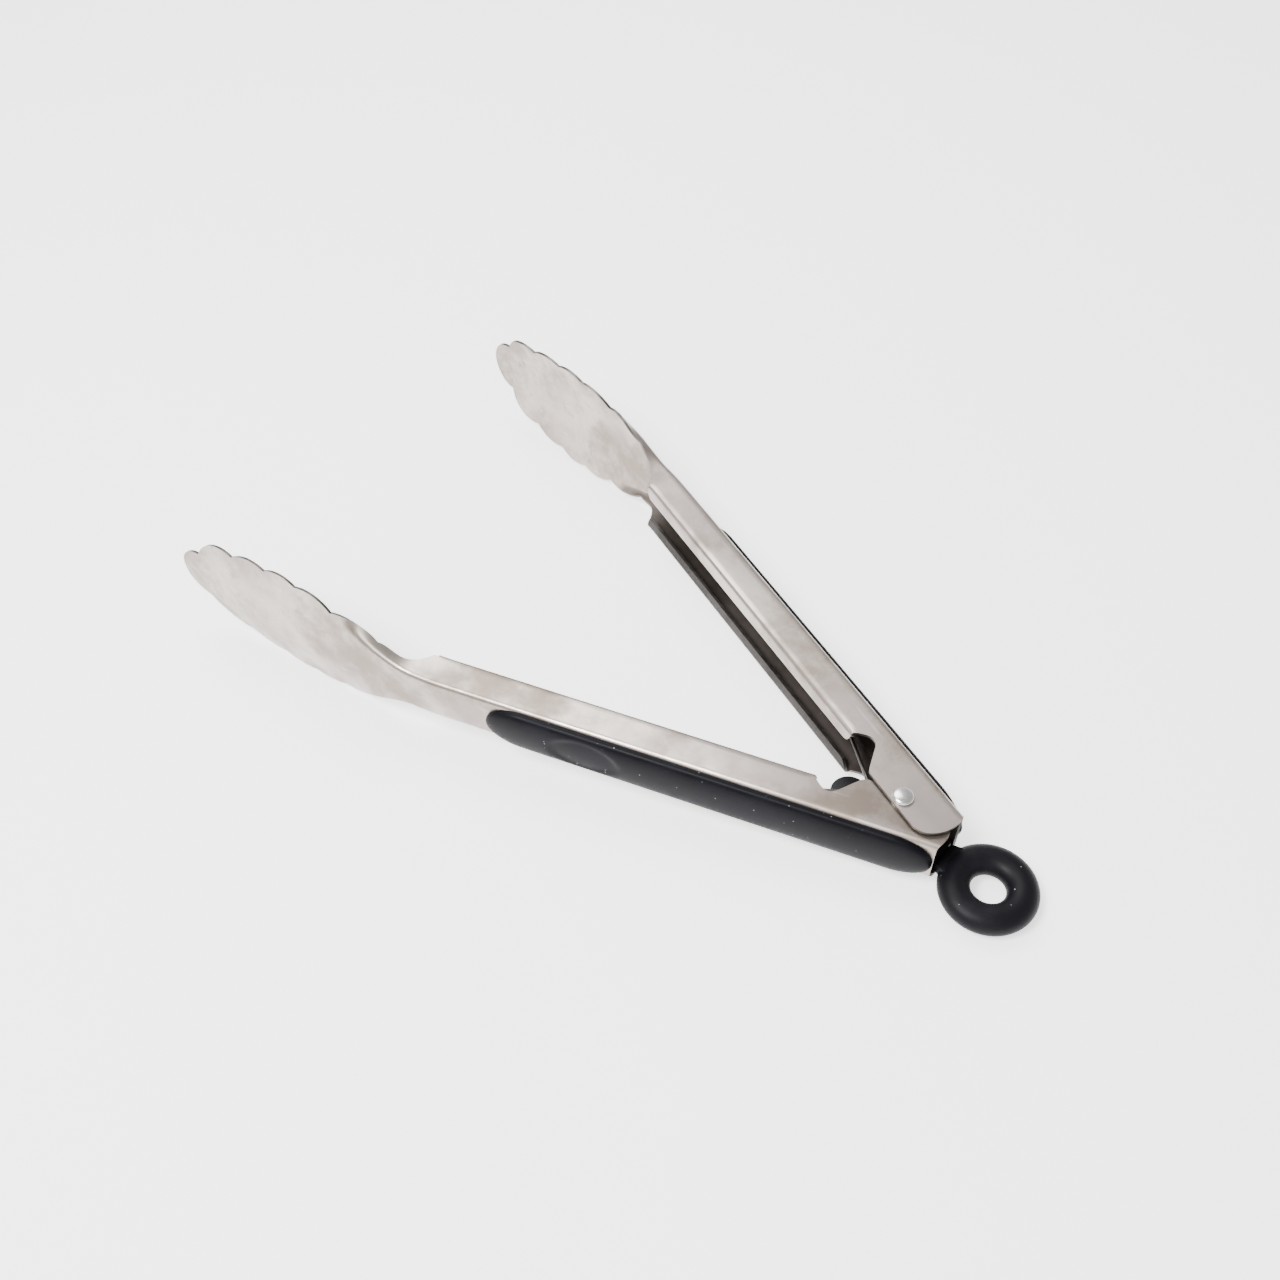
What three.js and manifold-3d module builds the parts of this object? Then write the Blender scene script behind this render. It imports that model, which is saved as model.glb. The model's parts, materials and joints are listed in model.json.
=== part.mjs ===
// Spring loaded kitchen tongs, in millimetres, lying open on a table with +Z up.
// Each arm is built in its own frame: the pivot at the origin, x towards the tip,
// y outwards (the side of the web and the grip) and z along the pivot.
import * as THREE from "three";
import { mergeVertices } from "three/addons/utils/BufferGeometryUtils.js";
import Module from "manifold-3d";

const wasm = await Module();
wasm.setup();

// Driving dimensions
const openAngle = 39; // between the arms when the spring has opened them
const sheet = 1.0; // stainless sheet of the arms
const webOffset = 12.2; // pivot centreline to the outside of the web
const outerHalfHeight = 10.4; // half the height of the back arm's channel
const plateGap = 0.8; // between the nested pivot plates
const bendRadius = 2.0; // outside radius between web and flange
const lipHeight = 5.5; // turned-in lip on each flange, measured from the flange's outside
const lipStart = 28; // pivot to the near end of the lips
const channelEnd = 155; // pivot to the end of the straight channel
const lipSetback = 1.5; // lips stop this much before the channel's end
const neckLength = 17; // channel's end to the head's first lobe
const formingLength = 37; // channel's end to where the head has its full spoon form

// Neck, where the channel flares out before it flattens into the head
const flareStart = 3; // past the channel's end
const flareEnd = 33;
const flareFlat = 14.5; // half the flat band at flareEnd
const flareRadius = 4;
const flareTurn = THREE.MathUtils.degToRad(50);

// Head
const headFlat = 3; // half the flat band along the middle of the head
const headTurn = THREE.MathUtils.degToRad(13); // how far the head's sides turn inwards
const headRadius = 40; // radius between the flat band and the sides
const headBow = 0.0232; // how fast the arm bows inwards towards the tip
const bowPower = 1.46;
const bowSetback = 5; // the bow starts this much before the channel's end
const earHalfWidth = 15.4;
const lobes = [
  { length: 17.9, endHalfWidth: 18.1, bulge: 2.4 },
  { length: 14.9, endHalfWidth: 20.7, bulge: 1.9 },
  { length: 13.6, endHalfWidth: 20.2, bulge: 1.8 },
  { length: 14.9, endHalfWidth: 17.9, bulge: 1.9 },
  { length: 16.8, endHalfWidth: 10.3, bulge: 3.7 },
];
const tipLength = 9.7; // last valley to the tip
const neckWaist = 4.6; // sheet left in the neck, past the channel's half height
const neckFall = 8; // stretch over which the flange narrows to the neck
const toothEdge = 0.8; // where the neck's flange starts, from the centreline

// Pivot plates and notch
const plateOverhang = 3.6; // how far the plates pass the centreline
const plateCorner = 12.6; // pivot to the plate's corner beside the notch
const notchNear = 20.1; // pivot to the notch floor's near end
const notchFar = 23.1;
const notchDepth = 4.8; // centreline to the notch floor
const tailRadius = 11.5;
const tailCentre = new THREE.Vector2(-4.3, 5.5);

// Pivot stack
const rivetRadius = 2.0;
const runningClearance = 0.1;
const rivetHeadRadius = 3.3;
const rivetHeadHeight = 1.5;
const washerRadius = 3.4;
const washerThickness = 0.5;
const spoolRadius = 3.2;
const spoolFlangeRadius = 6.4;
const spoolFlangeThickness = 0.8;

// Spring
const wireRadius = 0.6;
const coilRadius = 4.4; // middle of the wire
const coilTurns = 4; // less the half turn that the crossed legs leave out
const coilPitch = 1.75;
const legRetreat = 11; // spring leg's end before the second stud

// Slider and ring
const sliderThickness = 2.8;
const sliderLift = 1.2; // above the lower pivot plate
const lockClearance = 0.9; // between the slider's shoulders and the arms' tails
const sliderHeadRadius = 6.0;
const sliderHeadReach = 17.4; // pivot to the centre of the slider's inner end
const sliderTravel = 9;
const ringReach = 32.8; // pivot to the centre of the ring, pushed in
const ringRadius = 10.2; // middle of the ring's section
const ringHalfWidth = 4.9; // of the ring's section
const ringHalfHeight = 4.0;
const ringDrop = 5.7; // middle of the ring, below the middle of the arms
const collarWall = 0.6; // over and under the slider's tongue
const collarHalfWidth = 6.6; // where the collar meets the ring
const collarSetback = 0.6; // of the collar's sides behind the slider's shoulders
const collarReach = 16.6; // pivot to the collar's inner end
const tongueHalfWidth = 3.6;
const tongueReach = 25;

// Grips
const gripFrom = -13.5; // tail end of the grip, from the pivot
const gripEndSetback = 23.5; // grip's far end to the channel's end
const gripHalfHeight = 8.0;
const gripThickness = 3.2;
const gripEndLength = 12; // stretch over which each end rounds off
const coreThickness = 1.0;
const coreHalfHeight = 5.6;
const coreInset = 5; // from the skin's ends
const studRadius = 1.5;
const studNear = 8; // pivot to the first stud
const studCount = 3;
const studLength = 2.2; // past the inside of the web
const retainerRadius = 3.6;
const retainerThickness = 0.6;

const seat = 0.3; // gap between pieces that bear on each other

// Sizes that follow
const lipStop = channelEnd - lipSetback;
const earStart = channelEnd + neckLength;
const formedFrom = channelEnd + formingLength;
const bowStart = channelEnd - bowSetback;
const gripTo = channelEnd - gripEndSetback;
const studSpacing = (gripTo + gripFrom - 2 * studNear) / (studCount - 1);
const studPositions = Array.from({ length: studCount }, (_, i) => studNear + i * studSpacing);
const legReach = studPositions[1] - legRetreat;
const innerHalfHeight = outerHalfHeight - sheet - plateGap;
const earEnd = lobes.reduce((x, lobe) => x + lobe.length, earStart);
const reach = earEnd + tipLength;
const roomHalfHeight = innerHalfHeight - sheet; // inside the front arm's channel
const sliderBottom = -roomHalfHeight + sliderLift;
const sliderTop = sliderBottom + sliderThickness;
const coilBottom = sliderTop + seat + spoolFlangeThickness + seat;
const halfOpen = THREE.MathUtils.degToRad(openAngle / 2);
const headForm = { flat: headFlat, radius: headRadius, turn: headTurn };
const webInside = webOffset - sheet;
const tailEnd = Math.sqrt(tailRadius ** 2 - (webInside - tailCentre.y) ** 2) - tailCentre.x;
const tailRoom = webInside * Math.cos(halfOpen) - tailEnd * Math.sin(halfOpen);
const sliderHalfWidth = tailRoom - lockClearance;
const collarNeck = sliderHalfWidth - collarSetback;

const steel = { color: 0xc9c4bf, metalness: 0.9, roughness: 0.34 };
const brightSteel = { color: 0xe2e2e0, metalness: 1.0, roughness: 0.16 };
const darkPlastic = { color: 0x1b1b1e, metalness: 0.0, roughness: 0.5 };
const softBlack = { color: 0x232429, metalness: 0.0, roughness: 0.72 };
const paleNylon = { color: 0xe6e2d6, metalness: 0.0, roughness: 0.5 };

// Solids

function solidOf(geometry) {
  const bare = geometry.clone();
  bare.deleteAttribute("normal");
  bare.deleteAttribute("uv");
  const merged = mergeVertices(bare, 1e-4);
  const mesh = new wasm.Mesh({
    numProp: 3,
    vertProperties: new Float32Array(merged.attributes.position.array),
    triVerts: new Uint32Array(merged.index.array),
  });
  return new wasm.Manifold(mesh);
}

function geometryOf(solid) {
  const { vertProperties, triVerts } = solid.getMesh();
  const indexed = new THREE.BufferGeometry();
  indexed.setAttribute("position", new THREE.BufferAttribute(vertProperties, 3));
  indexed.setIndex(new THREE.BufferAttribute(triVerts, 1));
  const geometry = indexed.toNonIndexed();
  geometry.computeVertexNormals();
  return geometry;
}

// An outline in x and y, raised from one z to another.
function prism(shape, bottom, top, curveSegments = 12) {
  const options = { depth: top - bottom, bevelEnabled: false, curveSegments };
  return new THREE.ExtrudeGeometry(shape, options).translate(0, 0, bottom);
}

function outline(points) {
  return new THREE.Shape(points.map(([x, y]) => new THREE.Vector2(x, y)));
}

// A round bar along z.
function bar(radius, bottom, top, sides = 24) {
  const cylinder = new THREE.CylinderGeometry(radius, radius, top - bottom, sides);
  return cylinder.rotateX(Math.PI / 2).translate(0, 0, (bottom + top) / 2);
}

// A round bar along y at a place along the arm.
function crossBar(radius, x, from, to, sides = 20) {
  const cylinder = new THREE.CylinderGeometry(radius, radius, to - from, sides);
  return cylinder.translate(x, (from + to) / 2, 0);
}

// A turned piece about z: its profile runs in radius and height, up the outside.
function turned(points, sides = 24) {
  const profile = points.map(([radius, height]) => new THREE.Vector2(radius, height));
  return new THREE.LatheGeometry(profile, sides).rotateX(Math.PI / 2);
}

function piece(name, geometry, finish) {
  const mesh = new THREE.Mesh(geometry, new THREE.MeshStandardMaterial(finish));
  mesh.name = name;
  return mesh;
}

// A closed body between rings of points; each ring is convex and all have as many points.
function loft(rings) {
  const count = rings[0].length;
  const positions = rings.flat().flatMap((point) => point.toArray());
  const index = [];
  for (let ring = 0; ring + 1 < rings.length; ring++)
    for (let i = 0; i < count; i++) {
      const a = ring * count + i;
      const b = ring * count + ((i + 1) % count);
      index.push(a, a + count, b, b, a + count, b + count);
    }
  const last = (rings.length - 1) * count;
  for (let i = 1; i + 1 < count; i++) {
    index.push(0, i, i + 1);
    index.push(last, last + i + 1, last + i);
  }
  const geometry = new THREE.BufferGeometry();
  geometry.setAttribute("position", new THREE.Float32BufferAttribute(positions, 3));
  geometry.setIndex(index);
  return geometry;
}

// A closed sheet between outer and inner rows of points, one pair of rows for each station.
function sheetLoft(stations) {
  const count = stations[0].outer.length;
  const positions = stations.flatMap(({ outer, inner }) =>
    [...outer, ...inner].flatMap((point) => point.toArray()),
  );
  const index = [];
  const quad = (a, b, c, d) => index.push(a, b, c, a, c, d);
  const step = 2 * count;
  for (let k = 0; k + 1 < stations.length; k++) {
    const here = k * step;
    const next = here + step;
    for (let i = 0; i + 1 < count; i++) {
      quad(here + i, here + i + 1, next + i + 1, next + i);
      quad(here + count + i + 1, here + count + i, next + count + i, next + count + i + 1);
    }
    quad(here + count, here, next, next + count);
    quad(here + count - 1, here + step - 1, next + step - 1, next + count - 1);
  }
  const last = (stations.length - 1) * step;
  for (let i = 0; i + 1 < count; i++) {
    quad(i, count + i, count + i + 1, i + 1);
    quad(last + i, last + i + 1, last + count + i + 1, last + count + i);
  }
  const geometry = new THREE.BufferGeometry();
  geometry.setAttribute("position", new THREE.Float32BufferAttribute(positions, 3));
  geometry.setIndex(index);
  return geometry;
}

// Arm sheet

// How the sheet's half section runs at a place along the channel and the neck:
// a flat band, a bend and a side.
function neckForm(x, halfHeight) {
  const flared = THREE.MathUtils.smoothstep(x, channelEnd + flareStart, channelEnd + flareEnd);
  return {
    flat: THREE.MathUtils.lerp(halfHeight - bendRadius, flareFlat, flared),
    radius: THREE.MathUtils.lerp(bendRadius, flareRadius, flared),
    turn: THREE.MathUtils.lerp(Math.PI / 2, flareTurn, flared),
  };
}

// Developed length of the half section in the channel and the neck.
function lengthBeforeHead(x, halfHeight) {
  const { flat, radius, turn } = neckForm(Math.min(x, channelEnd), halfHeight);
  const bendEnd = flat + radius * turn;
  if (x <= channelEnd) return bendEnd + webOffset + plateOverhang - bendRadius;
  const tooth = bendEnd + webOffset - bendRadius - toothEdge;
  const waist = halfHeight + neckWaist;
  const ear = lengthToWidth(headForm, earHalfWidth);
  const rising = THREE.MathUtils.smoothstep(x, channelEnd + neckFall, earStart);
  const left = Math.max(0, 1 - (x - channelEnd) / neckFall);
  return THREE.MathUtils.lerp(waist, ear, rising) + (tooth - waist) * left * left;
}

// Developed length of the half section that ends at a half width, in the head.
function lengthToWidth({ flat, radius, turn }, halfWidth) {
  const bend = radius * Math.sin(turn);
  if (halfWidth <= flat) return halfWidth;
  if (halfWidth <= flat + bend) return flat + radius * Math.asin((halfWidth - flat) / radius);
  return flat + radius * turn + (halfWidth - flat - bend) / Math.cos(turn);
}

// Depth, height and direction of a half section at a developed length.
function alongSection({ flat, radius, turn }, length) {
  const angle = THREE.MathUtils.clamp((length - flat) / radius, 0, turn);
  const side = Math.max(0, length - flat - radius * turn);
  const z = Math.min(length, flat) + radius * Math.sin(angle) + side * Math.cos(angle);
  const depth = radius * (1 - Math.cos(angle)) + side * Math.sin(angle);
  return { depth, z, angle };
}

// The same at a place along the arm, where the neck's form goes over into the head's.
function sheetPoint(x, halfHeight, length) {
  const neck = alongSection(neckForm(x, halfHeight), length);
  const head = alongSection(headForm, length);
  const formed = THREE.MathUtils.smoothstep(x, earStart, formedFrom);
  const webY = webOffset - headBow * Math.max(0, x - bowStart) ** bowPower;
  return {
    y: webY - THREE.MathUtils.lerp(neck.depth, head.depth, formed),
    z: THREE.MathUtils.lerp(neck.z, head.z, formed),
    angle: THREE.MathUtils.lerp(neck.angle, head.angle, formed),
  };
}

function stationAt(x, halfHeight, halfWidth) {
  const form = neckForm(x, halfHeight);
  const bend = form.radius * form.turn;
  const bendEnd = form.flat + bend;
  const total =
    halfWidth === undefined ? lengthBeforeHead(x, halfHeight) : lengthToWidth(headForm, halfWidth);
  const shares =
    total > bendEnd + 1
      ? [0, form.flat, form.flat + bend / 3, form.flat + (bend * 2) / 3, bendEnd, total]
      : [0, 1, 2, 3, 4, 5].map((share) => (total * share) / 5);
  const half = shares.map((length) => sheetPoint(x, halfHeight, length));
  const section = [
    ...half.slice(1).reverse().map(({ y, z, angle }) => ({ y, z: -z, angle: -angle })),
    ...half,
  ];
  return {
    outer: section.map(({ y, z }) => new THREE.Vector3(x, y, z)),
    inner: section.map(
      ({ y, z, angle }) =>
        new THREE.Vector3(x, y - sheet * Math.cos(angle), z - sheet * Math.sin(angle)),
    ),
  };
}

// The head's edge: arcs that bulge outwards between valleys, then the rounded tip.
function headOutline(stepsPerLobe = 5) {
  const edge = [];
  let x = earStart;
  let halfWidth = earHalfWidth;
  for (const { length, endHalfWidth, bulge } of lobes) {
    const rise = endHalfWidth - halfWidth;
    const chord = Math.hypot(length, rise);
    const radius = (chord * chord) / (8 * bulge) + bulge / 2;
    const sweep = 2 * Math.asin(chord / 2 / radius);
    for (let k = 0; k < stepsPerLobe; k++) {
      const angle = sweep * (k / stepsPerLobe - 0.5);
      const along = chord / 2 + radius * Math.sin(angle);
      const out = radius * Math.cos(angle) - (radius - bulge);
      edge.push({
        x: x + (along * length - out * rise) / chord,
        halfWidth: halfWidth + (along * rise + out * length) / chord,
      });
    }
    x += length;
    halfWidth = endHalfWidth;
  }
  const tipSteps = 7;
  for (let k = 0; k < tipSteps; k++) {
    const angle = ((Math.PI / 2) * k) / tipSteps;
    edge.push({ x: x + tipLength * Math.sin(angle), halfWidth: halfWidth * Math.cos(angle) });
  }
  return edge;
}

function armSheet(halfHeight) {
  const tail = tailCentre.x - tailRadius - 1;
  const justPast = channelEnd + 0.4;
  const neckSteps = 6;
  const neck = [];
  for (let k = 0; k < neckSteps; k++)
    neck.push(justPast + ((earStart - justPast) * k) / neckSteps);
  const channel = [tail, bowStart, channelEnd, ...neck];
  const stations = [
    ...channel.map((x) => stationAt(x, halfHeight)),
    ...headOutline().map(({ x, halfWidth }) => stationAt(x, halfHeight, halfWidth)),
  ];
  return sheetLoft(stations);
}

// What the flanges lose: the notch beside the pivot plates and the strip inside the lips.
function flangeTrim(halfHeight) {
  const clear = plateOverhang + 2;
  const edge = sheet / 2;
  const shape = outline([
    [plateCorner, -clear],
    [plateCorner, -plateOverhang],
    [notchNear, notchDepth],
    [notchFar, notchDepth],
    [lipStart - edge, edge],
    [channelEnd + 0.3, edge],
    [channelEnd + 0.3, -clear],
  ]);
  return prism(shape, -halfHeight - 1, halfHeight + 1);
}

// What lies past the rounded tail end.
function tailTrim(halfHeight) {
  const drop = plateOverhang + tailCentre.y;
  const low = Math.PI + Math.asin(drop / tailRadius);
  const high = Math.PI - Math.asin((webOffset - tailCentre.y) / tailRadius);
  const shape = new THREE.Shape();
  const far = tailCentre.x - tailRadius - 3;
  const cornerX = tailCentre.x + tailRadius * Math.cos(low);
  shape.moveTo(far, -plateOverhang - 3);
  shape.lineTo(cornerX, -plateOverhang - 3);
  shape.absarc(tailCentre.x, tailCentre.y, tailRadius, low, high, true);
  shape.lineTo(tailCentre.x + tailRadius * Math.cos(high), webOffset + 3);
  shape.lineTo(far, webOffset + 3);
  shape.closePath();
  return prism(shape, -halfHeight - 1, halfHeight + 1, 12);
}

// A lip stands in from the flange's edge, along the channel, with rounded ends.
function lip(halfHeight) {
  const round = 2.4;
  const low = halfHeight - lipHeight;
  const shape = new THREE.Shape();
  shape.moveTo(lipStart, halfHeight);
  shape.lineTo(lipStart, low + round);
  shape.absarc(lipStart + round, low + round, round, Math.PI, 1.5 * Math.PI, false);
  shape.absarc(lipStop - round, low + round, round, 1.5 * Math.PI, 2 * Math.PI, false);
  shape.lineTo(lipStop, halfHeight);
  shape.closePath();
  return prism(shape, -sheet, 0, 5).rotateX(Math.PI / 2);
}

function arm(halfHeight) {
  const upperLip = lip(halfHeight);
  const lowerLip = upperLip.clone().rotateX(Math.PI).translate(0, sheet, 0);
  let solid = solidOf(armSheet(halfHeight))
    .subtract(solidOf(flangeTrim(halfHeight)))
    .subtract(solidOf(tailTrim(halfHeight)))
    .add(solidOf(upperLip))
    .add(solidOf(lowerLip))
    .subtract(solidOf(bar(rivetRadius + runningClearance, -halfHeight - 1, halfHeight + 1)));
  for (const x of studPositions) {
    const hole = crossBar(studRadius + seat, x, webOffset - 3 * sheet, webOffset + sheet);
    solid = solid.subtract(solidOf(hole));
  }
  return geometryOf(solid);
}

// Grips

// Half height and thickness left at a place along the grip, rounded off at both ends.
function gripShareAt(x) {
  const fromEnd = Math.min(x - gripFrom, gripTo - x);
  const into = THREE.MathUtils.clamp(1 - fromEnd / gripEndLength, 0, 1);
  return Math.sqrt(1 - into * into);
}

function gripSkin() {
  const endSteps = 6;
  const endPlaces = [];
  for (let k = 0; k < endSteps; k++)
    endPlaces.push(gripEndLength * (1 - Math.cos(((Math.PI / 2) * (k + 0.4)) / endSteps)));
  const places = [
    ...endPlaces.map((step) => gripFrom + step),
    gripFrom + gripEndLength,
    gripTo - gripEndLength,
    ...endPlaces.reverse().map((step) => gripTo - step),
  ];
  const base = webOffset + seat;
  const sides = 12;
  const rings = places.map((x) => {
    const share = gripShareAt(x);
    const ring = [];
    for (let k = 0; k <= sides; k++) {
      const angle = (Math.PI * k) / sides;
      const crown = Math.sin(angle) ** 0.6;
      const y = base + gripThickness * Math.sqrt(share) * crown;
      ring.push(new THREE.Vector3(x, y, gripHalfHeight * share * Math.cos(angle)));
    }
    return ring;
  });
  const clearance = gripCorePlate(seat);
  return geometryOf(solidOf(loft(rings)).subtract(solidOf(clearance)));
}

// The core's plate, grown by a clearance when it is cut out of the skin.
function gripCorePlate(grow) {
  const halfHeight = coreHalfHeight + grow;
  const from = gripFrom + coreInset + coreHalfHeight;
  const to = gripTo - coreInset - coreHalfHeight;
  const shape = new THREE.Shape();
  shape.absarc(from, 0, halfHeight, Math.PI / 2, 1.5 * Math.PI, false);
  shape.absarc(to, 0, halfHeight, -Math.PI / 2, Math.PI / 2, false);
  shape.closePath();
  const start = grow > 0 ? webOffset - 1 : webOffset + seat;
  const end = webOffset + seat + coreThickness + grow;
  return prism(shape, -end, -start, 6).rotateX(Math.PI / 2);
}

function gripCore() {
  const studEnd = webOffset - sheet - studLength;
  let solid = solidOf(gripCorePlate(0));
  for (const x of studPositions) {
    const stud = crossBar(studRadius, x, studEnd, webOffset + seat + coreThickness / 2);
    solid = solid.add(solidOf(stud));
  }
  return geometryOf(solid);
}

function gripRetainer(x) {
  const outside = webOffset - sheet - seat;
  const disc = crossBar(retainerRadius, x, outside - retainerThickness, outside, 24);
  const bore = crossBar(studRadius + runningClearance, x, outside - 3, outside + 1, 20);
  return geometryOf(solidOf(disc).subtract(solidOf(bore)));
}

// Pivot

function pivotRivet() {
  const under = outerHalfHeight + runningClearance;
  const headEdge = 0.35;
  const profile = [[0, -under - rivetHeadHeight]];
  const steps = 4;
  for (let k = 1; k <= steps; k++) {
    const angle = ((Math.PI / 2) * k) / steps;
    const rise = (rivetHeadHeight - headEdge) * Math.cos(angle);
    profile.push([rivetHeadRadius * Math.sin(angle), -under - headEdge - rise]);
  }
  profile.push([rivetHeadRadius, -under], [rivetRadius, -under]);
  const upper = profile.map(([radius, height]) => [radius, -height]).reverse();
  return turned([...profile, ...upper]);
}

function tube(outerRadius, bottom, top, sides = 28) {
  const bore = rivetRadius + runningClearance;
  const profile = [
    [bore, bottom],
    [outerRadius, bottom],
    [outerRadius, top],
    [bore, top],
    [bore, bottom],
  ];
  return turned(profile, sides);
}

function frictionWasher() {
  const bottom = innerHalfHeight + (plateGap - washerThickness) / 2;
  return tube(washerRadius, bottom, bottom + washerThickness);
}

function guideSpool() {
  const bore = rivetRadius + runningClearance;
  const flangeBottom = sliderTop + seat;
  const flangeTop = flangeBottom + spoolFlangeThickness;
  const end = roomHalfHeight - seat / 2;
  const profile = [
    [bore, -end],
    [spoolRadius, -end],
    [spoolRadius, flangeBottom],
    [spoolFlangeRadius, flangeBottom],
    [spoolFlangeRadius, flangeTop],
    [spoolRadius, flangeTop],
    [spoolRadius, end],
    [bore, end],
    [bore, -end],
  ];
  return turned(profile, 28);
}

// Spring

// One wire: a straight leg, the coil, and a straight leg, both tangent to the coil.
class SpringWire extends THREE.Curve {
  constructor() {
    super();
    const touch = webOffset - sheet - seat - wireRadius;
    const legAngle = this.slope(touch);
    this.start = halfOpen + legAngle; // directions of the two legs, as turned from the middle
    this.legLength = Math.sqrt(legReach ** 2 + touch ** 2 - coilRadius ** 2);
    this.sweep = 2 * Math.PI * coilTurns - Math.PI + 2 * this.start;
    this.coilLength = Math.hypot(this.sweep * coilRadius, (this.sweep / 2 / Math.PI) * coilPitch);
    this.total = 2 * this.legLength + this.coilLength;
  }

  // The slope of a leg that leaves the coil's far side and ends at the web.
  slope(touch) {
    const distance = Math.hypot(legReach, touch);
    return Math.atan2(touch, legReach) + Math.asin(coilRadius / distance);
  }

  getPoint(share, target = new THREE.Vector3()) {
    const length = share * this.total;
    const into = THREE.MathUtils.clamp(length - this.legLength, 0, this.coilLength);
    const turn = (into / this.coilLength) * this.sweep;
    const straight = length - this.legLength - into; // negative on the first leg
    const from = -this.start - Math.PI / 2;
    const angle = from + Math.PI + turn;
    const heading = angle + Math.PI / 2;
    const z = coilBottom + wireRadius + (turn / 2 / Math.PI) * coilPitch;
    return target.set(
      coilRadius * Math.cos(angle) + straight * Math.cos(heading),
      coilRadius * Math.sin(angle) + straight * Math.sin(heading),
      z,
    );
  }
}

function torsionSpring() {
  const section = new THREE.Shape();
  section.absarc(0, 0, wireRadius, 0, 2 * Math.PI, false);
  const wire = new SpringWire();
  const options = { steps: 120, extrudePath: wire, curveSegments: 6, bevelEnabled: false };
  return new THREE.ExtrudeGeometry(section, options);
}

// Slider and ring, built with the slider's inner end towards +x and the ring towards -x.

function sliderPlate() {
  const shape = new THREE.Shape();
  const swell = Math.asin(sliderHalfWidth / sliderHeadRadius);
  shape.moveTo(-tongueReach, -tongueHalfWidth);
  shape.lineTo(-collarReach + seat, -tongueHalfWidth);
  shape.lineTo(-collarReach + seat, -sliderHalfWidth);
  const round = Math.PI - swell;
  shape.absarc(sliderHeadReach, 0, sliderHeadRadius, -round, round, false);
  shape.lineTo(-collarReach + seat, sliderHalfWidth);
  shape.lineTo(-collarReach + seat, tongueHalfWidth);
  shape.lineTo(-tongueReach, tongueHalfWidth);
  shape.closePath();
  const slot = new THREE.Path();
  const slotRadius = spoolRadius + runningClearance;
  slot.absarc(0, 0, slotRadius, Math.PI / 2, 1.5 * Math.PI, false);
  slot.absarc(sliderTravel, 0, slotRadius, -Math.PI / 2, Math.PI / 2, false);
  slot.closePath();
  shape.holes.push(slot);
  return prism(shape, sliderBottom, sliderTop, 8);
}

function pullRing() {
  const steps = 12;
  const profile = [];
  for (let k = 0; k <= steps; k++) {
    const angle = (2 * Math.PI * k) / steps;
    const radius = ringRadius + ringHalfWidth * Math.cos(angle);
    profile.push([radius, ringHalfHeight * Math.sin(angle)]);
  }
  const ring = turned(profile, 36).translate(-ringReach, 0, -ringDrop);
  const collarEnd = ringReach - ringRadius;
  const collar = prism(
    outline([
      [-collarEnd, -collarHalfWidth],
      [-collarReach, -collarNeck],
      [-collarReach, collarNeck],
      [-collarEnd, collarHalfWidth],
    ]),
    sliderBottom - seat - collarWall,
    sliderTop + seat + collarWall,
  );
  const pocketHalf = tongueHalfWidth + seat;
  const pocketEnd = tongueReach + seat;
  const pocket = prism(
    outline([
      [-pocketEnd, -pocketHalf],
      [-collarReach + 1, -pocketHalf],
      [-collarReach + 1, pocketHalf],
      [-pocketEnd, pocketHalf],
    ]),
    sliderBottom - seat,
    sliderTop + seat,
  );
  return geometryOf(solidOf(ring).add(solidOf(collar)).subtract(solidOf(pocket)));
}

// Assembly: the tips point along -X, the back arm is on the +Y side.

function armGroup(side, halfHeight, prefix) {
  const group = new THREE.Group();
  group.add(piece(`${prefix}_arm`, arm(halfHeight), steel));
  group.add(piece(`${prefix}_grip_core`, gripCore(), darkPlastic));
  group.add(piece(`${prefix}_grip_skin`, gripSkin(), softBlack));
  studPositions.forEach((x, i) => {
    group.add(piece(`${prefix}_grip_retainer_${i + 1}`, gripRetainer(x), brightSteel));
  });
  // Turned over for the back arm, so that its web faces +Y, then opened from the middle.
  const turn = new THREE.Group();
  turn.add(group);
  if (side > 0) group.rotation.y = Math.PI;
  else group.rotation.z = Math.PI;
  turn.rotation.z = -side * halfOpen;
  return turn;
}

function pivotGroup() {
  const group = new THREE.Group();
  group.add(piece("pivot_rivet", pivotRivet(), brightSteel));
  group.add(piece("upper_friction_washer", frictionWasher(), paleNylon));
  group.add(piece("lower_friction_washer", frictionWasher().rotateX(Math.PI), paleNylon));
  const middle = new THREE.Group();
  middle.add(piece("guide_spool", guideSpool(), darkPlastic));
  middle.add(piece("torsion_spring", torsionSpring(), brightSteel));
  middle.add(piece("lock_slider", sliderPlate(), darkPlastic));
  middle.add(piece("pull_ring", pullRing(), softBlack));
  middle.rotation.z = Math.PI;
  group.add(middle);
  return group;
}

// The tongs rest on the lower edges of both heads and on the rivet's lower head.
function restAngle() {
  const widest = headOutline().reduce((best, spot) =>
    spot.halfWidth > best.halfWidth ? spot : best,
  );
  const rivetBottom = outerHalfHeight + runningClearance + rivetHeadHeight;
  return Math.atan2(widest.halfWidth - rivetBottom, widest.x * Math.cos(halfOpen));
}

const tongs = new THREE.Group();
const lying = new THREE.Group();
lying.add(armGroup(1, outerHalfHeight, "back"));
lying.add(armGroup(-1, innerHalfHeight, "front"));
lying.add(pivotGroup());
lying.rotation.y = restAngle();
tongs.add(lying);
tongs.updateMatrixWorld(true);

const box = new THREE.Box3().setFromObject(tongs, true);
const centre = box.getCenter(new THREE.Vector3());
lying.position.set(-centre.x, -centre.y, -box.min.z);

export default tongs;
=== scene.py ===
import json
import math

import bmesh
import bpy
from mathutils import Matrix, Vector


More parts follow.
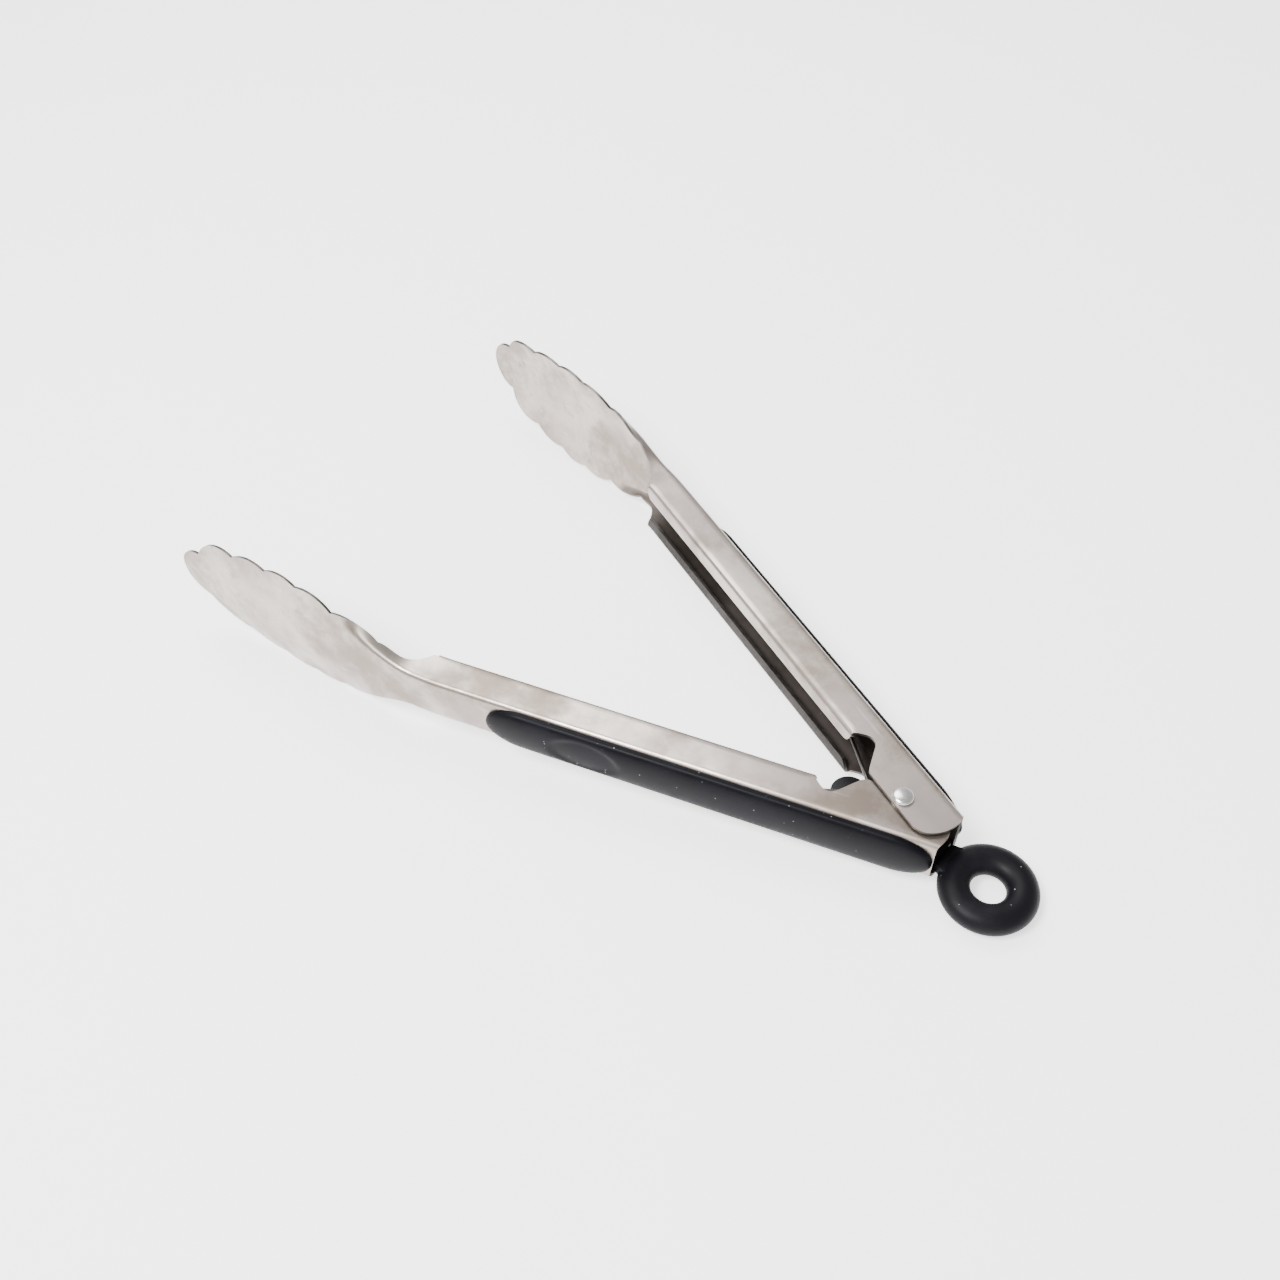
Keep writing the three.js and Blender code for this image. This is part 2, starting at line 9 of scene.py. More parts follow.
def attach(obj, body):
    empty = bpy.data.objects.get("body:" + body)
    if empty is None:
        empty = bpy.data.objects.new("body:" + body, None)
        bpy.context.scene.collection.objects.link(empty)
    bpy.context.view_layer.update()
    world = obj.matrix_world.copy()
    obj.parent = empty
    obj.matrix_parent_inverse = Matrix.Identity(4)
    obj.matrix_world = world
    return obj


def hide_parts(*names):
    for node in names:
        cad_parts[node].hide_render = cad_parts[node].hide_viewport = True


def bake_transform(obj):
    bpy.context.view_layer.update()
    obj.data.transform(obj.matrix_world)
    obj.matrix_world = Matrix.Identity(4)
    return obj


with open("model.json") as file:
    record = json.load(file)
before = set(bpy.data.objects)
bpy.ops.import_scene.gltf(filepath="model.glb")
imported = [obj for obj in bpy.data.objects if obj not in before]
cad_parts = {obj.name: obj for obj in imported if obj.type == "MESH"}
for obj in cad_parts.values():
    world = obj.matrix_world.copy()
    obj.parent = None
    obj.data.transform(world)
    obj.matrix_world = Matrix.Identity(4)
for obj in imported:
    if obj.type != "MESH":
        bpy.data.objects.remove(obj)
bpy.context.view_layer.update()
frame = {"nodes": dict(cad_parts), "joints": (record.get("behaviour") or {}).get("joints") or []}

# The tongs' own frame, from the record's joints: all sizes below are millimetres in it.
MM = 0.001
JOINTS = {joint["name"]: joint for joint in frame["joints"]}
PIVOT = Vector(JOINTS["arm_pivot"]["pos_m"])
UP = Vector(JOINTS["arm_pivot"]["axis"]).normalized()
TO_RING = Vector(JOINTS["slider_pull"]["axis"]).normalized()
ACROSS = UP.cross(TO_RING)
HALF_OPEN = math.radians(19.5)

# Arms
SHEET = 1.0
WEB = 12.2
OUTER_HALF = 10.4
INNER_HALF = 8.6
BEND = 2.0
LIP_BEND = 1.3
LIP_HEIGHT = 5.5
LIP_START = 28.0
CHANNEL_END = 155.0
LIP_STOP = CHANNEL_END - 1.5
EAR_START = CHANNEL_END + 17
FORMED_FROM = CHANNEL_END + 37
FLARE_START, FLARE_END = CHANNEL_END + 3, CHANNEL_END + 33
FLARE_FLAT = 14.5
FLARE_RADIUS = 4.0
FLARE_TURN = math.radians(50)
BOW_START = CHANNEL_END - 5
HEAD_FLAT = 3.0
HEAD_TURN = math.radians(13)
HEAD_RADIUS = 40
HEAD_BOW = 0.0232
BOW_POWER = 1.46
EAR_HALF_WIDTH = 15.4
LOBES = [  # length, half width at its end, bulge
    (17.9, 18.1, 2.4), (14.9, 20.7, 1.9), (13.6, 20.2, 1.8), (14.9, 17.9, 1.9), (16.8, 10.3, 3.7),
]
TIP_LENGTH = 9.7
NECK_WAIST = 4.6
NECK_FALL = 8.0
TOOTH_EDGE = 1.3
PLATE_OVERHANG = 3.6
PLATE_CORNER = 12.6
NOTCH_NEAR = 20.1
NOTCH_FAR = 23.1
NOTCH_DEPTH = 4.8
CORNER_ROUND = 1.3
CORNER_FADE_IN, CORNER_FADE_OUT = (8.0, 11.0), (24.0, 26.0)
LIP_NEAR_END, LIP_FAR_END = 3.2, 2.2  # stretches over which the lip's ends round off
TAIL_RADIUS = 11.5
TAIL_X, TAIL_Y = -4.3, 5.5
TAIL_CORNER, TAIL_CORNER_DEPTH = 1.6, 2.0  # rounding of the plate's corner on the tail

# Grips
GRIP_FROM = -13.5
GRIP_TO = CHANNEL_END - 23.5
GRIP_HALF = 8.0
GRIP_THICKNESS = 3.3
GRIP_END = 13.0
GRIP_SEAT = 0.05
CROWN_POWER = 0.62  # below 1 makes the grip's section fuller than round
THUMB_MIDDLE = 97.0
THUMB_HALF_LENGTH = 13.0
THUMB_WIDTH = 0.86  # share of the grip's width
THUMB_DEPTH = 0.6

# Pivot stack
SEAT = 0.3  # gap between pieces that bear on each other
CLEARANCE = 0.1  # between pieces that turn on each other
RIVET_RADIUS = 2.0
RIVET_HEAD = 3.3
RIVET_HEIGHT = 1.5
RIVET_RIM = 0.35  # height of the head's straight rim
SPOOL_RADIUS = 3.2
SPOOL_FLANGE = 0.8
WIRE = 0.6
COIL = 4.4
COIL_TURNS = 4
COIL_PITCH = 1.75
LEG_REACH = 48
LEG_STEPS = 14  # rows along each of the spring's legs
COIL_STEPS = 160
SLIDER_BOTTOM = -(INNER_HALF - SHEET) + 1.2
SLIDER_TOP = SLIDER_BOTTOM + 2.8
SLIDER_HEAD_REACH = 17.4
SLIDER_HEAD_RADIUS = 6.0
SLIDER_TRAVEL = 9
LOCK_CLEARANCE = 0.9
TONGUE_REACH = 25.0
TONGUE_HALF = 3.6
COIL_BOTTOM = SLIDER_TOP + SEAT + SPOOL_FLANGE + SEAT
COLLAR_REACH = 16.6
COLLAR_HALF = 6.6
COLLAR_WALL = 0.9
COLLAR_SETBACK = 1.5
COLLAR_OVERLAP = 0.5  # of the collar into the ring
RING_REACH = 32.8
RING_RADIUS = 10.2
RING_HALF_WIDTH = 4.9
RING_HALF_HEIGHT = 4.0
RING_DROP = 5.7


# ---------------------------------------------------------------- places

def basis(along, across, up):
    """A frame at the pivot, from millimetres along three directions to metres."""
    return Matrix(
        [[along[i] * MM, across[i] * MM, up[i] * MM, PIVOT[i]] for i in range(3)] + [[0, 0, 0, 1]]
    )


def arm_frame(side):
    """x runs to the tip, y outwards, z along the pivot; side is 1 for the back arm, else -1."""
    cosine, sine = math.cos(HALF_OPEN), math.sin(HALF_OPEN)
    along = TO_RING * -cosine + ACROSS * (side * sine)
    outwards = TO_RING * sine + ACROSS * (side * cosine)
    return basis(along, outwards, UP * -side)


MIDDLE = basis(TO_RING, ACROSS, UP)
BACK, FRONT = arm_frame(1), arm_frame(-1)


def clamp(value, low, high):
    return min(high, max(low, value))


def smooth(value, start, end):
    t = clamp((value - start) / (end - start), 0, 1)
    return t * t * (3 - 2 * t)


def lerp(a, b, t):
    return a + (b - a) * t


def ease(t):
    """A quarter ellipse from 0 to 1."""
    return math.sqrt(max(0.0, 1 - (1 - clamp(t, 0, 1)) ** 2))


# ---------------------------------------------------------------- meshes

def new_object(name, bm, place, materials, smooth_angle=40):
    """A finished mesh object at the origin, its vertices placed in metres."""
    bm.transform(place)
    bmesh.ops.recalc_face_normals(bm, faces=bm.faces)
    mesh = bpy.data.meshes.new(name)
    bm.to_mesh(mesh)
    bm.free()
    for material in materials:
        mesh.materials.append(material)
    mesh.shade_smooth()
    mesh.set_sharp_from_angle(angle=math.radians(smooth_angle))
    made = bpy.data.objects.new(name, mesh)
    bpy.context.scene.collection.objects.link(made)
    return made


def bent_grid(columns, rows, place_of, merge):
    """A grid whose corner (column, row) goes to place_of(column, row)."""
    bm = bmesh.new()
    bmesh.ops.create_grid(bm, x_segments=columns, y_segments=rows, size=1)
    for vert in bm.verts:
        column = round((vert.co.x + 1) / 2 * columns)
        row = round((vert.co.y + 1) / 2 * rows)
        vert.co = place_of(column, row)
    bmesh.ops.remove_doubles(bm, verts=bm.verts, dist=merge)
    bmesh.ops.dissolve_degenerate(bm, edges=bm.edges, dist=merge / 4)
    return bm


def plate(loops, bottom, top, bevel, segments):
    """A flat plate between two heights; the first loop is its edge and the others are holes."""
    bm = bmesh.new()
    edges = []
    for loop in loops:
        verts = [bm.verts.new((x, y, bottom)) for x, y in loop]
        edges += [bm.edges.new(pair) for pair in zip(verts, verts[1:] + verts[:1])]
    bmesh.ops.triangle_fill(bm, edges=edges, use_beauty=True)
    if len(loops) == 1:
        inner = [e for e in bm.edges if not e.is_boundary]
        bmesh.ops.dissolve_edges(bm, edges=inner, use_verts=False)
    raised = bmesh.ops.extrude_face_region(bm, geom=list(bm.faces))["geom"]
    upper = [v for v in raised if isinstance(v, bmesh.types.BMVert)]
    bmesh.ops.translate(bm, verts=upper, vec=(0, 0, top - bottom))
    bmesh.ops.recalc_face_normals(bm, faces=bm.faces)
    rims = [e for e in bm.edges if is_rim(e)]
    bmesh.ops.bevel(
        bm, geom=rims, offset=bevel, segments=segments, affect="EDGES", profile=0.5, material=-1,
    )
    return bm


def is_rim(edge):
    """Whether a level edge lies between a flat side and the wall."""
    level = abs(edge.verts[0].co.z - edge.verts[1].co.z) < 1e-6
    return level and len(edge.link_faces) == 2 and edge.calc_face_angle() > 1.0


def turned(profile, steps=64):
    """A solid turned about z from points of radius and height."""
    bm = bmesh.new()
    verts = [bm.verts.new((radius, 0, height)) for radius, height in profile]
    edges = [bm.edges.new(pair) for pair in zip(verts, verts[1:])]
    bmesh.ops.spin(
        bm, geom=verts + edges, cent=(0, 0, 0), axis=(0, 0, 1), angle=2 * math.pi, steps=steps,
        use_merge=True, use_duplicate=False,
    )
    bmesh.ops.remove_doubles(bm, verts=bm.verts, dist=1e-4)
    return bm


def thicken(made, thickness, bevel):
    """Gives an open sheet its thickness, on the inside, and rounds its edges."""
    shell = made.modifiers.new("Sheet", "SOLIDIFY")
    shell.thickness = thickness * MM
    shell.offset = -1
    shell.use_even_offset = True
    shell.use_quality_normals = True
    shell.material_offset = 1
    shell.material_offset_rim = 2
    rounding = made.modifiers.new("Edges", "BEVEL")
    rounding.width = bevel * MM
    rounding.segments = 2
    rounding.limit_method = "ANGLE"
    rounding.angle_limit = math.radians(50)
    rounding.harden_normals = True


def finish_piece(made, body, nodes):
    """Puts a piece on its body, in place of the CAD nodes it stands for."""
    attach(made, body)
    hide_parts(*nodes)


# ---------------------------------------------------------------- arm sheet

def neck_form(x, half_height):
    """The half section of the channel and the neck: a flat band, a bend and a side."""
    flared = smooth(x, FLARE_START, FLARE_END)
    return (
        lerp(half_height - BEND, FLARE_FLAT, flared),
        lerp(BEND, FLARE_RADIUS, flared),
        lerp(math.pi / 2, FLARE_TURN, flared),
    )


HEAD_FORM = (HEAD_FLAT, HEAD_RADIUS, HEAD_TURN)


def along_section(form, length):
    """Depth below the web and height of a half section at a developed length."""
    flat, radius, turn = form
    angle = clamp((length - flat) / radius, 0, turn)
    side = max(0, length - flat - radius * turn)
    z = min(length, flat) + radius * math.sin(angle) + side * math.cos(angle)
    return radius * (1 - math.cos(angle)) + side * math.sin(angle), z


def bow(x):
    return HEAD_BOW * max(0, x - BOW_START) ** BOW_POWER


def sheet_point(x, half_height, length):
    """y and z of the sheet's outside, where the neck's form goes over into the head's."""
    depth, z = along_section(neck_form(x, half_height), length)
    head_depth, head_z = along_section(HEAD_FORM, length)
    formed = smooth(x, EAR_START, FORMED_FROM)
    return WEB - bow(x) - lerp(depth, head_depth, formed), lerp(z, head_z, formed)


def channel_point(half_height, length):
    """The same in the straight channel, whose flange turns in again to the lip."""
    lip_from = half_height - BEND + BEND * math.pi / 2 + WEB - BEND - LIP_BEND
    if length <= lip_from:
        return sheet_point(0, half_height, length)
    angle = min((length - lip_from) / LIP_BEND, math.pi / 2)
    past = max(0, length - lip_from - LIP_BEND * math.pi / 2)
    y = LIP_BEND * (1 - math.sin(angle))
    return y, half_height - LIP_BEND * (1 - math.cos(angle)) - past


def flange_depth(x):
    """Developed depth of the flange and its lip below the web, up to the channel's end."""
    rise = NOTCH_DEPTH / (LIP_START - NOTCH_FAR)
    if x <= PLATE_CORNER:
        return WEB + PLATE_OVERHANG
    if x <= NOTCH_NEAR:
        share = (x - PLATE_CORNER) / (NOTCH_NEAR - PLATE_CORNER)
        return lerp(WEB + PLATE_OVERHANG, WEB - NOTCH_DEPTH, share)
    if x <= NOTCH_FAR:
        return WEB - NOTCH_DEPTH
    slanted = WEB - NOTCH_DEPTH + (x - NOTCH_FAR) * rise
    start = NOTCH_FAR + (NOTCH_DEPTH - LIP_BEND) / rise
    if x <= start:
        return slanted
    lip = LIP_BEND * math.pi / 2 + LIP_HEIGHT - LIP_BEND
    near = WEB - LIP_BEND + lip * ease((x - start) / LIP_NEAR_END)
    far = WEB - LIP_BEND + lip * ease((LIP_STOP - x) / LIP_FAR_END)
    return min(near, far)


def rounded_depth(x):
    """The flange's depth with the notch's corners rounded off."""
    reach = CORNER_ROUND * smooth(x, *CORNER_FADE_IN) * (1 - smooth(x, *CORNER_FADE_OUT))
    if reach == 0:
        return flange_depth(x)
    return sum(flange_depth(x + reach * k / 4) for k in range(-4, 5)) / 9


def width_length(form, half_width):
    """Developed length of the half section that ends at a half width."""
    flat, radius, turn = form
    bend = radius * math.sin(turn)
    if half_width <= flat:
        return half_width
    if half_width <= flat + bend:
        return flat + radius * math.asin((half_width - flat) / radius)
    return flat + radius * turn + (half_width - flat - bend) / math.cos(turn)


def head_outline(steps=12):
    """x and half width along the head's edge: bulging arcs between valleys, then the tip."""
    edge = []
    x, half_width = EAR_START, EAR_HALF_WIDTH
    for length, end, bulge in LOBES:
        rise = end - half_width
        chord = math.hypot(length, rise)
        radius = chord * chord / (8 * bulge) + bulge / 2
        sweep = 2 * math.asin(chord / 2 / radius)
        for k in range(steps):
            angle = sweep * (k / steps - 0.5)
            along = chord / 2 + radius * math.sin(angle)
            out = radius * math.cos(angle) - (radius - bulge)
            forward = (along * length - out * rise) / chord
            sideways = (along * rise + out * length) / chord
            edge.append((x + forward, half_width + sideways))
        x, half_width = x + length, end
    for k in range(17):
        angle = math.pi / 2 * k / 16
        edge.append((x + TIP_LENGTH * math.sin(angle), max(0.02, half_width * math.cos(angle))))
    return edge


def neck_length(x, half_height):
    """Developed length of the half section between the channel and the head."""
    x = max(x, CHANNEL_END)
    tooth = half_height - BEND + BEND * math.pi / 2 + WEB - BEND - TOOTH_EDGE
    waist = half_height + NECK_WAIST
    ear = width_length(HEAD_FORM, EAR_HALF_WIDTH)
    rising = smooth(x, CHANNEL_END + NECK_FALL, EAR_START)
    left = max(0.0, 1 - (x - CHANNEL_END) / NECK_FALL)
    return lerp(waist, ear, rising) + (tooth - waist) * left * left


ROWS = 24  # across half of the section
FLAT_ROWS, BEND_ROWS, SIDE_ROWS = 4, 6, 6
TAIL_ROWS, NECK_ROWS = 12, 22
PLATES_FROM = 2.0  # where the rows that start on the tail's round end are straight
LIP_ROUND_FROM, LIP_ROUND_LENGTH = 26.7, 3.3  # stretch where the lip's near end rounds off
LIP_FAR_ROUND = 2.3


def channel_rows(x, half_height):
    """Developed lengths of the rows in the channel, closer in the bends."""
    flat = half_height - BEND
    bend_end = flat + BEND * math.pi / 2
    end = bend_end + rounded_depth(x) - BEND
    lip_from = bend_end + WEB - BEND - LIP_BEND
    split = min(lip_from, bend_end + (end - bend_end) * SIDE_ROWS / (ROWS - FLAT_ROWS - BEND_ROWS))
    if x > NOTCH_FAR:
        split = lerp(split, lip_from, smooth(x, NOTCH_FAR, LIP_START))
        split = min(split, end - 0.01)
    lengths = [flat * k / FLAT_ROWS for k in range(FLAT_ROWS)]
    lengths += [flat + (bend_end - flat) * k / BEND_ROWS for k in range(BEND_ROWS)]
    lengths += [bend_end + (split - bend_end) * k / SIDE_ROWS for k in range(SIDE_ROWS)]
    last = ROWS - FLAT_ROWS - BEND_ROWS - SIDE_ROWS
    lengths += [split + (end - split) * k / last for k in range(last + 1)]
    return lengths


def tail_start(y):
    """Where the sheet begins at a depth: on the tail's round end, rounded off below."""
    start = TAIL_X - math.sqrt(TAIL_RADIUS ** 2 - (y - TAIL_Y) ** 2)
    below = max(0.0, TAIL_CORNER_DEPTH - PLATE_OVERHANG - y) / TAIL_CORNER_DEPTH
    return start + TAIL_CORNER * below ** 2.2


def channel_places():
    """Places along the arm from the plates to the lips' far end, closer where the edge turns."""
    places = [lerp(PLATES_FROM, PLATE_CORNER, k / 9) for k in range(1, 10)]
    places += [lerp(PLATE_CORNER, NOTCH_NEAR, k / 12) for k in range(1, 13)]
    places += [lerp(NOTCH_NEAR, NOTCH_FAR, k / 6) for k in range(1, 7)]
    places += [lerp(NOTCH_FAR, LIP_ROUND_FROM, k / 5) for k in range(1, 6)]
    places += [LIP_ROUND_FROM + LIP_ROUND_LENGTH * (k / 8) ** 1.6 for k in range(1, 9)]
    lip_straight, lip_far = LIP_ROUND_FROM + LIP_ROUND_LENGTH, LIP_STOP - LIP_FAR_ROUND
    places += [lerp(lip_straight, lip_far, k / 34) for k in range(1, 35)]
    places += [LIP_STOP - LIP_FAR_ROUND * (1 - k / 7) ** 1.6 for k in range(1, 8)]
    return places


def neck_rows(x, half_height):
    """Developed lengths of the rows in the neck, which even out towards the head."""
    flat, radius, turn = neck_form(x, half_height)
    total = neck_length(x, half_height)
    bend_end = min(flat + radius * turn, total - 0.5)
    rest = ROWS - FLAT_ROWS - BEND_ROWS
    fixed = [flat * k / FLAT_ROWS for k in range(FLAT_ROWS)]
    fixed += [lerp(flat, bend_end, k / BEND_ROWS) for k in range(BEND_ROWS)]
    fixed += [bend_end + (total - bend_end) * k / rest for k in range(rest + 1)]
    even = smooth(x, CHANNEL_END, EAR_START)
    return [lerp(fixed[k], total * k / ROWS, even) for k in range(ROWS + 1)]


def arm_stations(half_height):
    """For each place along the arm, the half section from the web's middle to the edge."""

    def plain_row(x, lengths):
        return [(x, *sheet_point(x, half_height, length)) for length in lengths]

    stations = []
    for k in range(TAIL_ROWS + 1):
        row = []
        for _, y, z in plain_row(0, channel_rows(0, half_height)):
            row.append((lerp(tail_start(y), PLATES_FROM, k / TAIL_ROWS), y, z))
        stations.append(row)
    for x in channel_places():
        lengths = channel_rows(x, half_height)
        if x <= LIP_ROUND_FROM:
            stations.append(plain_row(x, lengths))
        else:
            points = [channel_point(half_height, length) for length in lengths]
            stations.append([(x, y - bow(x), z) for y, z in points])
    for k in range(1, NECK_ROWS):
        x = lerp(CHANNEL_END - 0.8, EAR_START, k / NECK_ROWS)
        stations.append(plain_row(x, neck_rows(x, half_height)))
    for x, half_width in head_outline():
        total = width_length(HEAD_FORM, half_width)
        stations.append(plain_row(x, [total * k / ROWS for k in range(ROWS + 1)]))
    return stations


def make_arm(name, half_height, place, materials):
    stations = arm_stations(half_height)

    def place_of(column, row):
        x, y, z = stations[column][abs(row - ROWS)]
        return (x, y, z if row >= ROWS else -z)

    bm = bent_grid(len(stations) - 1, 2 * ROWS, place_of, merge=0.004)
    made = new_object(name, bm, place, materials, smooth_angle=50)
    face_outwards(made, place)
    thicken(made, SHEET, bevel=0.16)
    return made


def face_outwards(made, place):
    """Turns an open sheet's faces so that the web's normal points away from the other arm."""
    outwards = (place.to_3x3() @ Vector((0, 1, 0))).normalized()
    leaning = sum(polygon.normal.dot(outwards) * polygon.area for polygon in made.data.polygons)
    if leaning < 0:
        made.data.flip_normals()


# ---------------------------------------------------------------- grips

def grip_share(x):
    """How far the grip's full section is reached at a place; its ends are round."""
    from_end = min(x - GRIP_FROM, GRIP_TO - x)
    into = clamp(1 - from_end / GRIP_END, 0, 1)
    return math.sqrt(max(0.0, 1 - into * into))


def make_grip(name, place, materials):
    columns, crown_rows, base_rows = 150, 28, 8
    rows = crown_rows + base_rows
    ends = 22

    def x_of(column):
        if column <= ends:
            return GRIP_FROM + GRIP_END * (1 - math.cos(math.pi / 2 * column / ends))
        if column >= columns - ends:
            return GRIP_TO - GRIP_END * (1 - math.cos(math.pi / 2 * (columns - column) / ends))
        share = (column - ends) / (columns - 2 * ends)
        return lerp(GRIP_FROM + GRIP_END, GRIP_TO - GRIP_END, share)

    def place_of(column, row):
        x = x_of(column)
        share = grip_share(x)
        if row > crown_rows:
            across = 1 - 2 * (row - crown_rows) / base_rows
            return (x, WEB + GRIP_SEAT, -GRIP_HALF * share * across)
        angle = math.pi * row / crown_rows
        z = GRIP_HALF * share * math.cos(angle)
        crown = max(0.0, math.sin(angle)) ** CROWN_POWER
        along = (x - THUMB_MIDDLE) / THUMB_HALF_LENGTH
        spot = along * along + (z / (GRIP_HALF * THUMB_WIDTH)) ** 2
        dip = THUMB_DEPTH * (1 - smooth(spot, 0.55, 1.0))
        y = WEB + GRIP_SEAT + (GRIP_THICKNESS * math.sqrt(share) - dip) * crown
        return (x, y, z)

    bm = bent_grid(columns, rows, place_of, merge=0.02)
    return new_object(name, bm, place, materials, smooth_angle=60)


# ---------------------------------------------------------------- pivot, spring, slider and ring

def make_rivet(materials):
    under = OUTER_HALF + CLEARANCE
    dome = []
    for k in range(9):
        angle = math.pi / 2 * k / 8
        rise = (RIVET_HEIGHT - RIVET_RIM) * math.cos(angle) ** 0.8
        dome.append((RIVET_HEAD * math.sin(angle), under + RIVET_RIM + rise))
    dome.append((RIVET_HEAD + 0.02, under + RIVET_RIM / 2))
    dome += [(RIVET_HEAD - 0.1, under), (RIVET_RADIUS, under)]
    profile = dome + [(radius, -height) for radius, height in reversed(dome)]
    return new_object("rivet", turned(profile), MIDDLE, materials, smooth_angle=50)


def spring_path():
    """Centres and directions along the wire: a leg, the coil and a leg."""
    touch = WEB - SHEET - SEAT - WIRE
    distance = math.hypot(LEG_REACH, touch)
    start = HALF_OPEN + math.atan2(touch, LEG_REACH) + math.asin(COIL / distance)
    leg = math.sqrt(distance * distance - COIL * COIL)
    sweep = 2 * math.pi * COIL_TURNS - math.pi + 2 * start
    points = [(-leg * (1 - k / LEG_STEPS), 0.0) for k in range(LEG_STEPS)]
    points += [(0.0, sweep * k / COIL_STEPS) for k in range(COIL_STEPS + 1)]
    points += [(leg * k / LEG_STEPS, sweep) for k in range(1, LEG_STEPS + 1)]
    path = []
    for straight, turn in points:
        angle = math.pi / 2 - start + turn
        heading = angle + math.pi / 2
        centre = Vector((
            COIL * math.cos(angle) + straight * math.cos(heading),
            COIL * math.sin(angle) + straight * math.sin(heading),
            COIL_BOTTOM + WIRE + turn / 2 / math.pi * COIL_PITCH,
        ))
        path.append((centre, Vector((math.cos(angle), math.sin(angle), 0))))
    return path


def make_spring(materials):
    path = spring_path()
    sides = 14

    def place_of(column, row):
        centre, outwards = path[column]
        angle = 2 * math.pi * row / sides
        return centre + outwards * (WIRE * math.cos(angle)) + Vector((0, 0, WIRE * math.sin(angle)))

    bm = bent_grid(len(path) - 1, sides, place_of, merge=0.01)
    ends = [e for e in bm.edges if e.is_boundary]
    bmesh.ops.holes_fill(bm, edges=ends, sides=0)
    turned_round = MIDDLE @ Matrix.Rotation(math.pi, 4, "Z")
    return new_object("spring_wire", bm, turned_round, materials, smooth_angle=60)


def arc(x, y, radius, start, end, steps):
    """Points on an arc about (x, y)."""
    span = [start + (end - start) * k / steps for k in range(steps + 1)]
    return [(x + radius * math.cos(a), y + radius * math.sin(a)) for a in span]


def tail_room():
    """Half the room that the arms' tails leave for the slider in the open pose."""
    inside = WEB - SHEET
    tail = math.sqrt(TAIL_RADIUS ** 2 - (inside - TAIL_Y) ** 2) - TAIL_X
    return inside * math.cos(HALF_OPEN) - tail * math.sin(HALF_OPEN)


def make_slider(materials):
    half = tail_room() - LOCK_CLEARANCE
    swell = math.pi - math.asin(half / SLIDER_HEAD_RADIUS)
    collar = COLLAR_REACH - SEAT
    head = arc(SLIDER_HEAD_REACH, 0, SLIDER_HEAD_RADIUS, -swell, swell, 40)
    outline = [(TONGUE_REACH, -TONGUE_HALF), (collar, -TONGUE_HALF), (collar, -half)]
    outline += [(-x, y) for x, y in head]
    outline += [(collar, half), (collar, TONGUE_HALF), (TONGUE_REACH, TONGUE_HALF)]
    slot_radius = SPOOL_RADIUS + CLEARANCE
    slot = arc(0, 0, slot_radius, -math.pi / 2, math.pi / 2, 16)
    slot += arc(-SLIDER_TRAVEL, 0, slot_radius, math.pi / 2, 1.5 * math.pi, 16)
    bm = plate([outline, slot], SLIDER_BOTTOM, SLIDER_TOP, bevel=0.45, segments=3)
    return new_object("slider_plate", bm, MIDDLE, materials, smooth_angle=50)


def make_ring(materials):
    """The pull ring, a round moulding, and the collar that grips the slider's tongue."""
    profile = []
    for k in range(33):
        angle = 2 * math.pi * k / 32
        radius = RING_RADIUS + RING_HALF_WIDTH * math.cos(angle)
        profile.append((radius, RING_HALF_HEIGHT * math.sin(angle)))
    ring = turned(profile, steps=96)
    bmesh.ops.translate(ring, verts=ring.verts, vec=(RING_REACH, 0, -RING_DROP))
    neck = tail_room() - COLLAR_SETBACK
    start, end = COLLAR_REACH, RING_REACH - RING_RADIUS + COLLAR_OVERLAP
    outline = [(start, -neck), (start, neck), (end, COLLAR_HALF), (end, -COLLAR_HALF)]
    low, high = SLIDER_BOTTOM - COLLAR_WALL, SLIDER_TOP + COLLAR_WALL
    collar = plate([outline], low, high, bevel=0.7, segments=4)
    mesh = bpy.data.meshes.new("collar_part")
    collar.to_mesh(mesh)
    collar.free()
    ring.from_mesh(mesh)
    bpy.data.meshes.remove(mesh)
    return new_object("ring_moulding", ring, MIDDLE, materials, smooth_angle=50)


# ---------------------------------------------------------------- shared effects

class Nodes:
    """Adds nodes to a tree; a value may be a number, a colour or another node's output."""

    def __init__(self, tree):
        self.tree = tree
        tree.nodes.clear()

    def add(self, kind, settings=None, **inputs):
        node = self.tree.nodes.new("ShaderNode" + kind)
        for key, value in (settings or {}).items():
            setattr(node, key, value)
        for key, value in inputs.items():
            self.set(node, key.replace("_", " "), value)
        return node

    def set(self, node, key, value):
        socket = node.inputs[int(key)] if key.isdigit() else node.inputs[key]
        if isinstance(value, bpy.types.NodeSocket):
            self.tree.links.new(value, socket)
        else:
            socket.default_value = value

    def math(self, operation, a, b):
        node = self.tree.nodes.new("ShaderNodeMath")
        node.operation = operation
        self.set(node, "0", a)
        self.set(node, "1", b)
        return node.outputs[0]

    def mix(self, share, a, b):
        node = self.tree.nodes.new("ShaderNodeMix")
        node.data_type = "RGBA"
        for index, value in ((0, share), (6, a), (7, b)):
            self.set(node, str(index), value)
        return node.outputs[2]

    def between(self, value, low, high, to_low=0.0, to_high=1.0):
        node = self.add("MapRange", {"interpolation_type": "SMOOTHSTEP"})
        for index, item in enumerate((value, low, high, to_low, to_high)):
            self.set(node, str(index), item)
        return node.outputs[0]

    def noise(self, vector, scale, detail=3.0, roughness=0.55):
        node = self.add("TexNoise", Vector=vector, Scale=scale, Detail=detail, Roughness=roughness)
        return node.outputs["Fac"]


